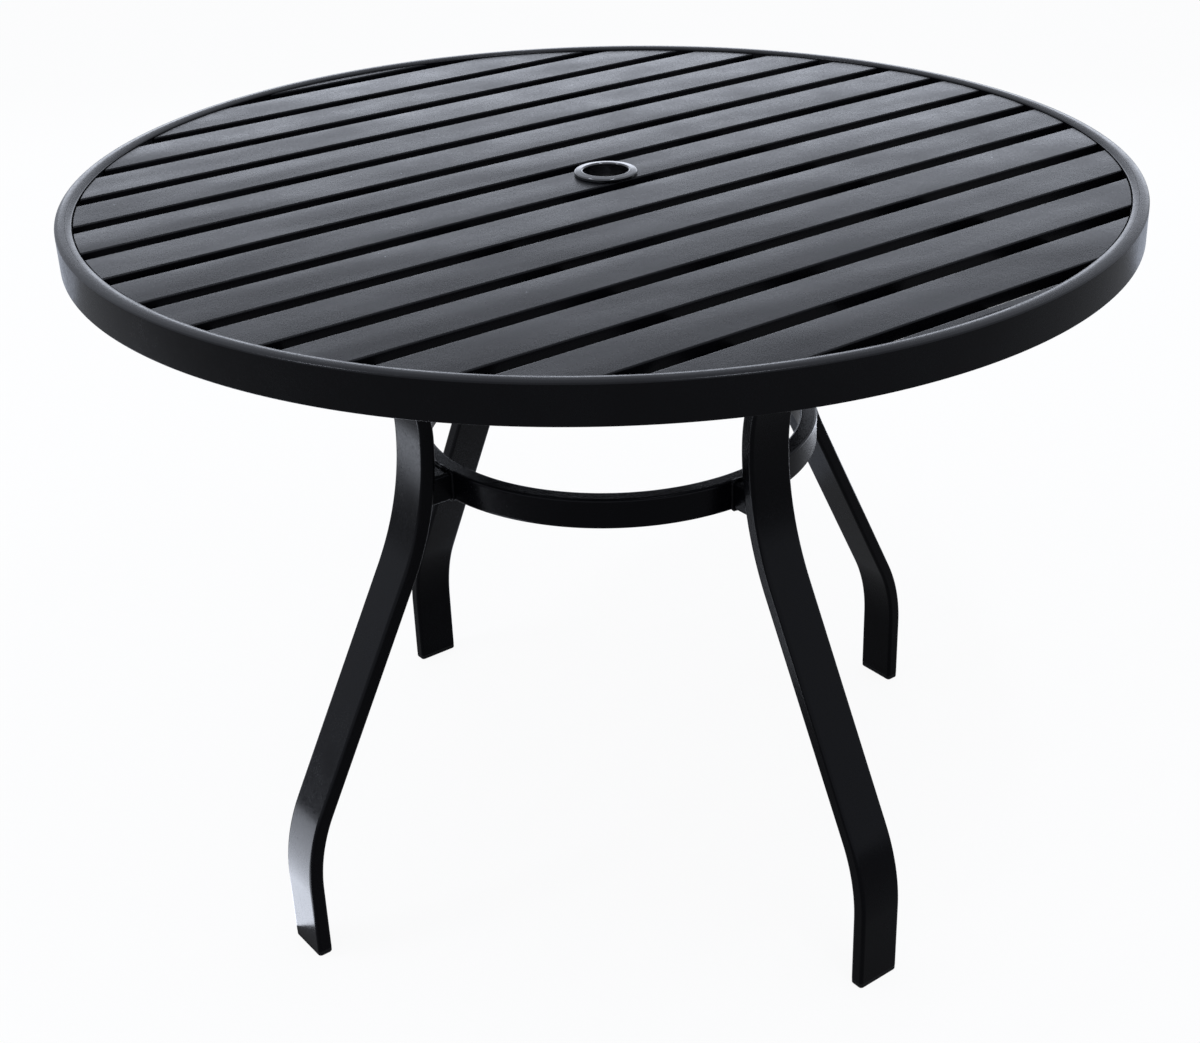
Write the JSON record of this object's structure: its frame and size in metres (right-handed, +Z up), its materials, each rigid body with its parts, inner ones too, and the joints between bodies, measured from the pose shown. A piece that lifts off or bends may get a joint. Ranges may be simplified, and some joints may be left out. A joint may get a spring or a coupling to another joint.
{
  "type": "umbrella table",
  "caption": "Round slatted patio table with a rolled rim, bent flat-tube legs tied by a hoop, and a flanged ring at a centre hole for an umbrella pole.",
  "frame": {"origin": "on the floor, under the centre of the table top", "axes": "+Z up, X along the slats, the four legs on the X and Y axes"},
  "size_m": [1.0667, 1.0668, 0.764],
  "materials": {
    "powder_coated_aluminium": "satin black powder coat",
    "black_hardware": "black-coated steel fasteners",
    "glide_plastic": "matt black plastic",
    "ring_plastic": "glossy black plastic"
  },
  "bodies": {
    "table": {"rim_frame": "powder_coated_aluminium", "slat_middle": "powder_coated_aluminium", "slat_front_1": "powder_coated_aluminium", "slat_front_2": "powder_coated_aluminium", "slat_front_3": "powder_coated_aluminium", "slat_front_4": "powder_coated_aluminium", "slat_front_5": "powder_coated_aluminium", "slat_front_6": "powder_coated_aluminium", "slat_front_7": "powder_coated_aluminium", "slat_rear_1": "powder_coated_aluminium", "slat_rear_2": "powder_coated_aluminium", "slat_rear_3": "powder_coated_aluminium", "slat_rear_4": "powder_coated_aluminium", "slat_rear_5": "powder_coated_aluminium", "slat_rear_6": "powder_coated_aluminium", "slat_rear_7": "powder_coated_aluminium", "cross_rail_left": "powder_coated_aluminium", "cross_rail_right": "powder_coated_aluminium", "umbrella_plate": "powder_coated_aluminium", "brace_hoop": "powder_coated_aluminium", "leg_right": "powder_coated_aluminium", "leg_rear": "powder_coated_aluminium", "leg_left": "powder_coated_aluminium", "leg_front": "powder_coated_aluminium", "leg_pad_right": "powder_coated_aluminium", "leg_pad_rear": "powder_coated_aluminium", "leg_pad_left": "powder_coated_aluminium", "leg_pad_front": "powder_coated_aluminium", "hoop_spacer_right": "powder_coated_aluminium", "hoop_spacer_rear": "powder_coated_aluminium", "hoop_spacer_left": "powder_coated_aluminium", "hoop_spacer_front": "powder_coated_aluminium", "umbrella_plate_screws": "black_hardware", "leg_bolts": "black_hardware", "foot_glide_right": "glide_plastic", "foot_glide_rear": "glide_plastic", "foot_glide_left": "glide_plastic", "foot_glide_front": "glide_plastic"},
    "pole_ring": {"umbrella_ring": "ring_plastic"}
  },
  "joints": [
    {"name": "umbrella_ring_lift", "type": "slide", "parent": "table", "child": "pole_ring", "axis": [0, 0, 1], "range_m": [0, 0.06]}
  ]
}
